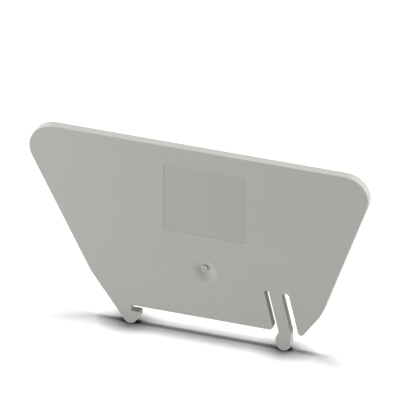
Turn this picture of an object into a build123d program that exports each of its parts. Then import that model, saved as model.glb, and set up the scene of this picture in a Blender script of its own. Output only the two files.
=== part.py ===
from build123d import *
import os
from math import cos, radians, sin, tan

# End cover for terminal blocks on a 35 mm mounting rail, moulded in one piece.
# Millimetres. X runs along the cover, +Z is up and the show face looks along -Y.
# The origin is on the edge that sits on the rail, in the middle of the rail and of the plate.

# Rail that the feet grip
rail_width = 35.0
rail_play = 0.15  # between the rail's edge and the latch
rail_lip_room = 1.5  # height of the pocket that the rail's fixed edge slides into

# Plate
plate_thickness = 2.0
height_over_rail = 43.8
foot_reach = 4.85  # both feet, below the rail seat
left_overhang = 9.5  # from the rail's edge out to the bend in the side edge
right_overhang = 10.34
left_bend_height = 7.25
right_bend_height = 6.2
left_lean = 26.35  # side edges above the bends, in degrees from upright
right_lean = 19.1
foot_flare = 35.0  # side edges below the bends
left_corner_radius = 5.9
right_corner_radius = 5.6
bend_radius = 12.0
seat_corner_radius = 0.8
foot_tip_radius = 0.75

# Fixed hook
hook_catch = 2.25  # how far the hook reaches under the rail
hook_nose_height = 1.3
hook_underside_lean = 40.0
hook_corner_radius = 0.3
pocket_corner_radius = 0.2

# Spring latch between its two slots
latch_lean = 13.1
latch_width = 2.85
latch_height = 10.25  # top of both slots over the rail seat
inner_slot_width = 1.1
outer_slot_width = 1.75
slot_rounding = 0.45  # radius of both corners at a slot's top, as a share of its width
toe_radius = 1.8
ramp_start = 0.5  # the ramp that draws the rail up begins this far below the seat
ramp_height = 1.15
ramp_corner_radius = 0.3
notch_radius = 0.15
heel_radius = 3.0

# Rounded front edges. The rear edges are sharp, because the mould parts there.
front_edge_radius = 0.1

# Sunken label field, left blank
label_width = 19.38
label_height = 17.15
label_depth = 0.09
label_x = 0.09
label_top_margin = 4.925  # from the field up to the top edge
label_corner_radius = 0.25
label_edge_radius = 0.03

# Shallow dish that keeps the gate mark below the face
dish_radius = 2.95
dish_floor_radius = 0.9
dish_depth = 0.7
dish_x = 0.1
dish_gap = 6.425  # between the label field and the dish
gate_offset = 1.05  # the gate is this far above the middle of the dish
gate_base_radius = 1.0
gate_tip_radius = 0.55
gate_height = 0.6
gate_root_depth = 0.1  # below the middle of the dish
gate_pit_radius = 0.3
gate_pit_depth = 0.2

# Marks of the ejector pins on the rear face
ejector_radius = 2.0
ejector_depth = 0.1
ejector_margin = 8.0  # from the top edge and from the corners of the top row
ejector_foot_height = 6.0

front = -plate_thickness / 2
rail_left = -rail_width / 2
rail_right = rail_width / 2


def lean_out(start, height, lean):
    """Point at a height on an edge through start that leans to the right by lean degrees."""
    return (start[0] + (height - start[1]) * tan(radians(lean)), height)


def meet(first, first_lean, second, second_lean):
    """Point where two leaning edges cross."""
    a, b = tan(radians(first_lean)), tan(radians(second_lean))
    height = (second[0] - first[0] + a * first[1] - b * second[1]) / (a - b)
    return lean_out(first, height, first_lean)


# Side edges
left_bend = (rail_left - left_overhang, left_bend_height)
right_bend = (rail_right + right_overhang, right_bend_height)
top_left = lean_out(left_bend, height_over_rail, -left_lean)
top_right = lean_out(right_bend, height_over_rail, right_lean)

# Hook, whose round toe reaches down as far as the latch
pocket_top = (rail_left, 0)
pocket_floor = (rail_left, -rail_lip_room)
hook_top = (rail_left + hook_catch, -rail_lip_room)
hook_chin = (hook_top[0], -rail_lip_room - hook_nose_height)
hook_point = meet(left_bend, -foot_flare, hook_chin, hook_underside_lean)
hook_half_angle = radians(foot_flare + hook_underside_lean) / 2
hook_tilt = radians(hook_underside_lean - foot_flare) / 2
hook_toe_radius = -(foot_reach + hook_point[1]) / (cos(hook_tilt) / sin(hook_half_angle) - 1)

# Latch and slots, measured along the rail seat
slant = 1 / cos(radians(latch_lean))
latch_inner = (rail_right + rail_play, 0)
latch_outer = (latch_inner[0] + latch_width * slant, 0)
inner_slot_wall = (latch_inner[0] - inner_slot_width * slant, 0)
outer_slot_wall = (latch_outer[0] + outer_slot_width * slant, 0)
foot_point = meet(outer_slot_wall, -latch_lean, right_bend, foot_flare)
toe_centre = (latch_outer[0] - toe_radius, -foot_reach + toe_radius)
toe_outer = (latch_outer[0], toe_centre[1])
toe_inner = (toe_centre[0] - toe_radius, toe_centre[1])
ramp_top = lean_out(latch_inner, -ramp_start, -latch_lean)
ramp_foot = (toe_inner[0], -ramp_start - ramp_height)

# Label field, dish and gate mark, measured from the top edge
label_z = height_over_rail - label_top_margin - label_height / 2
dish_z = label_z - label_height / 2 - dish_gap - dish_radius
gate_z = dish_z + gate_offset
gate_root = front + dish_depth + gate_root_depth
gate_tip = front + dish_depth - gate_height

# Ejector marks: three along the top, one over each foot
ejector_row = height_over_rail - ejector_margin
ejector_places = [
    (top_left[0] + left_corner_radius + ejector_margin, ejector_row),
    (0, ejector_row),
    (top_right[0] - right_corner_radius - ejector_margin, ejector_row),
    (rail_left, ejector_foot_height),
    (rail_right - ejector_margin, ejector_foot_height),
]


def slot_top(wall):
    return lean_out(wall, latch_height, -latch_lean)


# Corners with their radii, from the latch's toe anticlockwise round the cover and back to the toe
corners = [
    (latch_outer, heel_radius),
    (slot_top(latch_outer), outer_slot_width * slot_rounding),
    (slot_top(outer_slot_wall), outer_slot_width * slot_rounding),
    (foot_point, foot_tip_radius),
    (right_bend, bend_radius),
    (top_right, right_corner_radius),
    (top_left, left_corner_radius),
    (left_bend, bend_radius),
    (hook_point, hook_toe_radius),
    (hook_chin, hook_corner_radius),
    (hook_top, hook_corner_radius),
    (pocket_floor, pocket_corner_radius),
    (pocket_top, pocket_corner_radius),
    (inner_slot_wall, seat_corner_radius),
    (slot_top(inner_slot_wall), inner_slot_width * slot_rounding),
    (slot_top(latch_inner), inner_slot_width * slot_rounding),
    (ramp_top, notch_radius),
    (ramp_foot, ramp_corner_radius),
]


with BuildPart() as end_cover:
    with BuildSketch(Plane.XZ.offset(plate_thickness / 2)) as profile:
        with BuildLine() as outline:
            FilletPolyline(
                toe_outer,
                *[point for point, radius in corners],
                toe_inner,
                radius=[radius for point, radius in corners],
            )
            CenterArc(toe_centre, toe_radius, 180, 180)
        make_face()
    extrude(amount=-plate_thickness)

    # Front edges
    show_face = end_cover.faces().filter_by(Axis.Y).sort_by(Axis.Y)[0]
    fillet(show_face.outer_wire().edges(), front_edge_radius)

    # Label field
    with BuildSketch(Plane.XZ.offset(plate_thickness / 2)) as label_field:
        with Locations((label_x, label_z)):
            RectangleRounded(label_width, label_height, label_corner_radius)
    extrude(amount=-label_depth, mode=Mode.SUBTRACT)
    label_rim = end_cover.faces().filter_by(Axis.Y).sort_by(Axis.Y)[0].inner_wires().edges()
    fillet(label_rim, label_edge_radius)

    # Dish, turned about an axis square to the plate
    with BuildSketch(Plane.XY.offset(dish_z)) as dish_section:
        with BuildLine() as dish_outline:
            Polyline(
                (dish_x, front + dish_depth),
                (dish_x + dish_floor_radius, front + dish_depth),
                (dish_x + dish_radius, front),
                (dish_x, front),
                close=True,
            )
        make_face()
    revolve(axis=Axis((dish_x, 0, dish_z), (0, 1, 0)), mode=Mode.SUBTRACT)

    # Gate mark, a stub broken off at the runner with a pit in its tip
    with BuildSketch(Plane.XY.offset(gate_z)) as gate_section:
        with BuildLine() as gate_outline:
            Polyline(
                (dish_x, gate_root),
                (dish_x + gate_base_radius, gate_root),
                (dish_x + gate_tip_radius, gate_tip),
                (dish_x + gate_pit_radius, gate_tip),
                (dish_x, gate_tip + gate_pit_depth),
                close=True,
            )
        make_face()
    revolve(axis=Axis((dish_x, 0, gate_z), (0, 1, 0)))

    # Ejector marks
    with BuildSketch(Plane.XZ.offset(-plate_thickness / 2)) as ejector_marks:
        with Locations(*ejector_places):
            Circle(ejector_radius)
    extrude(amount=ejector_depth, mode=Mode.SUBTRACT)

end_cover.part.label = "end_cover"

os.makedirs("parts", exist_ok=True)
export_step(end_cover.part, "parts/end_cover.step")
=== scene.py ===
import math

import bpy
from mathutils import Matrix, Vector


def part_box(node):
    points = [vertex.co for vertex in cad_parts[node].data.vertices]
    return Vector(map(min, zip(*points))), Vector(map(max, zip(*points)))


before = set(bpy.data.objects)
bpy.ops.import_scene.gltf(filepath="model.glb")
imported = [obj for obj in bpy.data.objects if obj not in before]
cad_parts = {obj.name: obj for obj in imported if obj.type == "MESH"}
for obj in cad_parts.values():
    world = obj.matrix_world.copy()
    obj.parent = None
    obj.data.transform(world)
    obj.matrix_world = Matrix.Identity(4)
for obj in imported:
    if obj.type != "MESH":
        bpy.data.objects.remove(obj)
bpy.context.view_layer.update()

# The cover stands on its two feet, and its show face looks along -Y
MM = 0.001
FLOOR_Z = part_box("end_cover")[0].z
COVER_MIDDLE = (0, 0, 0.02)

# Sunken label field: its middle, and half its sides, a hair inside its walls
LABEL_X, LABEL_Z = 0.09 * MM, 30.3 * MM
LABEL_HALF_WIDTH, LABEL_HALF_HEIGHT = 9.68 * MM, 8.56 * MM

# Sizes in the plastic. The real grain is about 0.08 mm across, and it is drawn coarser so that it shows.
CLOUD_SIZE = 12 * MM
GRAIN_SIZE = 0.35 * MM
GRAIN_DEPTH = 0.01 * MM

# Colours, as they are seen in daylight. The field's tone multiplies the grey.
GREY = "#ABACA7"
GREY_SHADE = "#A6A8A2"
FIELD_TONE = "#F9F9F9"
PAPER_WHITE = "#F2F2F2"
PAPER_GREY = "#B8B8B8"
FULL_WHITE = (1, 1, 1, 1)

# Painted shade on the paper close to the cover, seen by the camera and in reflections: how far it reaches,
# and the power that deepens it
PAINTED_SHADE_REACH = 6 * MM
PAINTED_SHADE_DEPTH = 3.6

# Strength of the room's own light, where 1 is white
ROOM_LIGHT = 0.15

# Camera: a long lens in front, turned a little to the latch's end, looking down
LOOK_AT = Vector((-0.94, -1.0, 31.18)) * MM
CAMERA_AZIMUTH, CAMERA_ELEVATION, CAMERA_DISTANCE = 18.527, 31.679, 2.2476
FOCAL_LENGTH = 902

# Sockets known by number: both values of a Math node, and a Mix node's factor, colours and result
FIRST, SECOND = 0, 1
FACTOR, COLOUR_A, COLOUR_B, MIXED = 0, 6, 7, 2


def linear(hex_colour):
    """Blender's linear colour, with alpha, from an sRGB hex value."""
    parts = [int(hex_colour[n : n + 2], 16) / 255 for n in (1, 3, 5)]
    return [p / 12.92 if p <= 0.04045 else ((p + 0.055) / 1.055) ** 2.4 for p in parts] + [1]


def node(tree, kind, settings=None, links=None):
    """Adds a node with its settings and links.

    Settings are its properties or its inputs' values. Links give an input the output of another node.
    """
    made = tree.nodes.new(kind)
    for name, value in (settings or {}).items():
        if isinstance(name, int) or name in made.inputs:
            made.inputs[name].default_value = value
        else:
            setattr(made, name, value)
    for name, source in (links or {}).items():
        tree.links.new(source, made.inputs[name])
    return made


def new_material(name):
    """A material with no nodes, and its node tree."""
    material = bpy.data.materials.new(name)
    material.use_nodes = True
    material.node_tree.nodes.clear()
    return material, material.node_tree


def moulded_polyamide():
    """Polyamide 6.6, filled and moulded in a spark-eroded mould.

    The eye gets an even, slightly warm grey with a fine matt grain, soft wide highlights and no gloss.
    """
    material, tree = new_material("moulded_polyamide")
    place = node(tree, "ShaderNodeTexCoord").outputs["Object"]

    # Clouding of the pigment
    clouds = node(
        tree,
        "ShaderNodeTexNoise",
        {"Scale": 1 / CLOUD_SIZE, "Detail": 2.0, "Roughness": 0.5},
        {"Vector": place},
    )
    tint = node(
        tree,
        "ShaderNodeMix",
        {"data_type": "RGBA", COLOUR_A: linear(GREY), COLOUR_B: linear(GREY_SHADE)},
        {FACTOR: clouds.outputs["Fac"]},
    )

    # Over the sunken label field's floor the grey is made a little darker
    away = node(
        tree,
        "ShaderNodeVectorMath",
        {"operation": "SUBTRACT", SECOND: (LABEL_X, 0, LABEL_Z)},
        {FIRST: place},
    )
    offset = node(
        tree,
        "ShaderNodeVectorMath",
        {"operation": "ABSOLUTE"},
        {FIRST: away.outputs["Vector"]},
    )
    sides = node(tree, "ShaderNodeSeparateXYZ", links={"Vector": offset.outputs["Vector"]})
    depth = node(tree, "ShaderNodeSeparateXYZ", links={"Vector": place})
    across = node(
        tree,
        "ShaderNodeMath",
        {"operation": "LESS_THAN", SECOND: LABEL_HALF_WIDTH},
        {FIRST: sides.outputs["X"]},
    )
    upright = node(
        tree,
        "ShaderNodeMath",
        {"operation": "LESS_THAN", SECOND: LABEL_HALF_HEIGHT},
        {FIRST: sides.outputs["Z"]},
    )
    in_front = node(
        tree,
        "ShaderNodeMath",
        {"operation": "LESS_THAN", SECOND: 0.0},
        {FIRST: depth.outputs["Y"]},
    )
    inside = node(
        tree,
        "ShaderNodeMath",
        {"operation": "MULTIPLY"},
        {FIRST: across.outputs["Value"], SECOND: upright.outputs["Value"]},
    )
    field = node(
        tree,
        "ShaderNodeMath",
        {"operation": "MULTIPLY"},
        {FIRST: inside.outputs["Value"], SECOND: in_front.outputs["Value"]},
    )
    shade = node(
        tree,
        "ShaderNodeMix",
        {"data_type": "RGBA", "blend_type": "MULTIPLY", COLOUR_B: linear(FIELD_TONE)},
        {FACTOR: field.outputs["Value"], COLOUR_A: tint.outputs[MIXED]},
    )

    # Eroded grain
    grain = node(
        tree,
        "ShaderNodeTexNoise",
        {"Scale": 1 / GRAIN_SIZE, "Detail": 3.0, "Roughness": 0.6},
        {"Vector": place},
    )
    bump = node(
        tree,
        "ShaderNodeBump",
        {"Strength": 0.25, "Distance": GRAIN_DEPTH},
        {"Height": grain.outputs["Fac"]},
    )
    roughness = node(
        tree,
        "ShaderNodeMapRange",
        {"From Min": 0.3, "From Max": 0.7, "To Min": 0.5, "To Max": 0.62},
        {"Value": grain.outputs["Fac"]},
    )

    # The pits of the grain swallow nearly half of the shine that smooth polyamide has
    plastic = node(
        tree,
        "ShaderNodeBsdfPrincipled",
        {"IOR": 1.53, "Specular IOR Level": 0.28},
        {
            "Base Color": shade.outputs[MIXED],
            "Roughness": roughness.outputs["Result"],
            "Normal": bump.outputs["Normal"],
        },
    )
    node(tree, "ShaderNodeOutputMaterial", links={"Surface": plastic.outputs["BSDF"]})
    return material


def seen_as_background(tree):
    """1 for rays from the camera, and for those that it sees by reflection or through glass, else 0."""
    path = node(tree, "ShaderNodeLightPath")
    mirrored = node(
        tree,
        "ShaderNodeMath",
        {"operation": "MAXIMUM"},
        {FIRST: path.outputs["Is Camera Ray"], SECOND: path.outputs["Is Glossy Ray"]},
    )
    seen = node(
        tree,
        "ShaderNodeMath",
        {"operation": "MAXIMUM"},
        {FIRST: mirrored.outputs["Value"], SECOND: path.outputs["Is Transmission Ray"]},
    )
    return seen.outputs["Value"]


def white_paper():
    """White background paper, matt. The eye gets nothing but the cover's shadow.

    It is seen as white, darkened by painted shade close under the cover. The light that it throws back on
    the cover is a pale grey's, with no painted shade.
    """
    material, tree = new_material("white_paper")
    seen = seen_as_background(tree)
    colour = node(
        tree,
        "ShaderNodeMix",
        {"data_type": "RGBA", COLOUR_A: linear(PAPER_GREY), COLOUR_B: linear(PAPER_WHITE)},
        {FACTOR: seen},
    )

    # Painted shade: where the cover is close, the paper's seen colour is darkened by its ambient occlusion
    near = node(tree, "ShaderNodeAmbientOcclusion", {"samples": 16, "Distance": PAINTED_SHADE_REACH})
    painted_contact_shade = node(
        tree,
        "ShaderNodeMath",
        {"operation": "POWER", SECOND: PAINTED_SHADE_DEPTH},
        {FIRST: near.outputs["AO"]},
    )
    painted_shade_seen = node(
        tree,
        "ShaderNodeMix",
        {"data_type": "RGBA", COLOUR_A: FULL_WHITE},
        {FACTOR: seen, COLOUR_B: painted_contact_shade.outputs["Value"]},
    )
    shaded = node(
        tree,
        "ShaderNodeMix",
        {"data_type": "RGBA", "blend_type": "MULTIPLY", FACTOR: 1.0},
        {COLOUR_A: colour.outputs[MIXED], COLOUR_B: painted_shade_seen.outputs[MIXED]},
    )
    paper = node(tree, "ShaderNodeBsdfDiffuse", links={"Color": shaded.outputs[MIXED]})
    node(tree, "ShaderNodeOutputMaterial", links={"Surface": paper.outputs["BSDF"]})
    return material


def aim(thing, place, target):
    """Puts a lamp or camera at a place and turns it to look at the target."""
    thing.location = place
    thing.rotation_mode = "QUATERNION"
    thing.rotation_quaternion = (Vector(target) - Vector(place)).to_track_quat("-Z", "Y")


def towards(azimuth, elevation, distance):
    """Point at a distance from the origin. Azimuth is 0 before the show face, 90 at the latch's end."""
    a, e = math.radians(azimuth), math.radians(elevation)
    return Vector((math.sin(a) * math.cos(e), -math.cos(a) * math.cos(e), math.sin(e))) * distance


# Camera
camera_data = bpy.data.cameras.new("camera")
camera_data.lens = FOCAL_LENGTH
camera_data.sensor_width = 36
camera_data.clip_start = 0.1
camera_data.clip_end = 20
camera = bpy.data.objects.new("camera", camera_data)
bpy.context.collection.objects.link(camera)
aim(camera, LOOK_AT + towards(CAMERA_AZIMUTH, CAMERA_ELEVATION, CAMERA_DISTANCE), LOOK_AT)
bpy.context.scene.camera = camera

# The cover keeps its moulded shape and gets its plastic
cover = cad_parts["end_cover"]
plastic = moulded_polyamide()
for slot in cover.material_slots:
    slot.material = plastic

# Floor
bpy.ops.object.select_all(action="DESELECT")
bpy.ops.mesh.primitive_plane_add(size=30, location=(0, 0, FLOOR_Z))
floor = bpy.context.object
floor.name = "floor"
bpy.ops.object.transform_apply(location=True)
floor.data.materials.append(white_paper())

# Wide lamp almost straight above, a little to the rear. It whitens the floor and the top edge.
overhead_data = bpy.data.lights.new("overhead", "SUN")
overhead_data.energy = 3.72
overhead_data.angle = math.radians(16)
overhead = bpy.data.objects.new("overhead", overhead_data)
bpy.context.collection.objects.link(overhead)
aim(overhead, towards(180, 87.4, 1), (0, 0, 0))


def soft_box(name, azimuth, elevation, distance, width, power):
    """Square lamp that looks at the middle of the cover, with its width in metres and its power in watts."""
    data = bpy.data.lights.new(name, "AREA")
    data.shape = "SQUARE"
    data.size = width
    data.energy = power
    box = bpy.data.objects.new(name, data)
    box.visible_camera = False
    bpy.context.collection.objects.link(box)
    aim(box, towards(azimuth, elevation, distance), COVER_MIDDLE)


# Lamps around the cover. All but one stand low, where they light its faces and hardly the floor.
soft_box("near_left", -60, 5, 0.25, 0.05, 0.17)
soft_box("left", -90, 3, 0.9, 0.1, 3.2)
soft_box("front_left", -60, 3, 0.9, 0.1, 2.7)
soft_box("front", 0, 3, 0.9, 0.1, 1.1)
soft_box("right", 87, 4, 0.4, 0.06, 1.12)
soft_box("back_right", 120, 30, 0.8, 0.58, 0.8)
soft_box("back", 180, 3, 0.9, 0.1, 2.8)

# Room light, and white where the camera or a reflection sees past the floor
world = bpy.data.worlds.new("studio")
world.use_nodes = True
sky = world.node_tree
sky.nodes.clear()
level = node(
    sky,
    "ShaderNodeMapRange",
    {"To Min": ROOM_LIGHT, "To Max": 1.0},
    {"Value": seen_as_background(sky)},
)
background = node(
    sky,
    "ShaderNodeBackground",
    {"Color": FULL_WHITE},
    {"Strength": level.outputs["Result"]},
)
node(sky, "ShaderNodeOutputWorld", links={"Surface": background.outputs["Background"]})
bpy.context.scene.world = world

bpy.context.scene.view_settings.view_transform = "Standard"
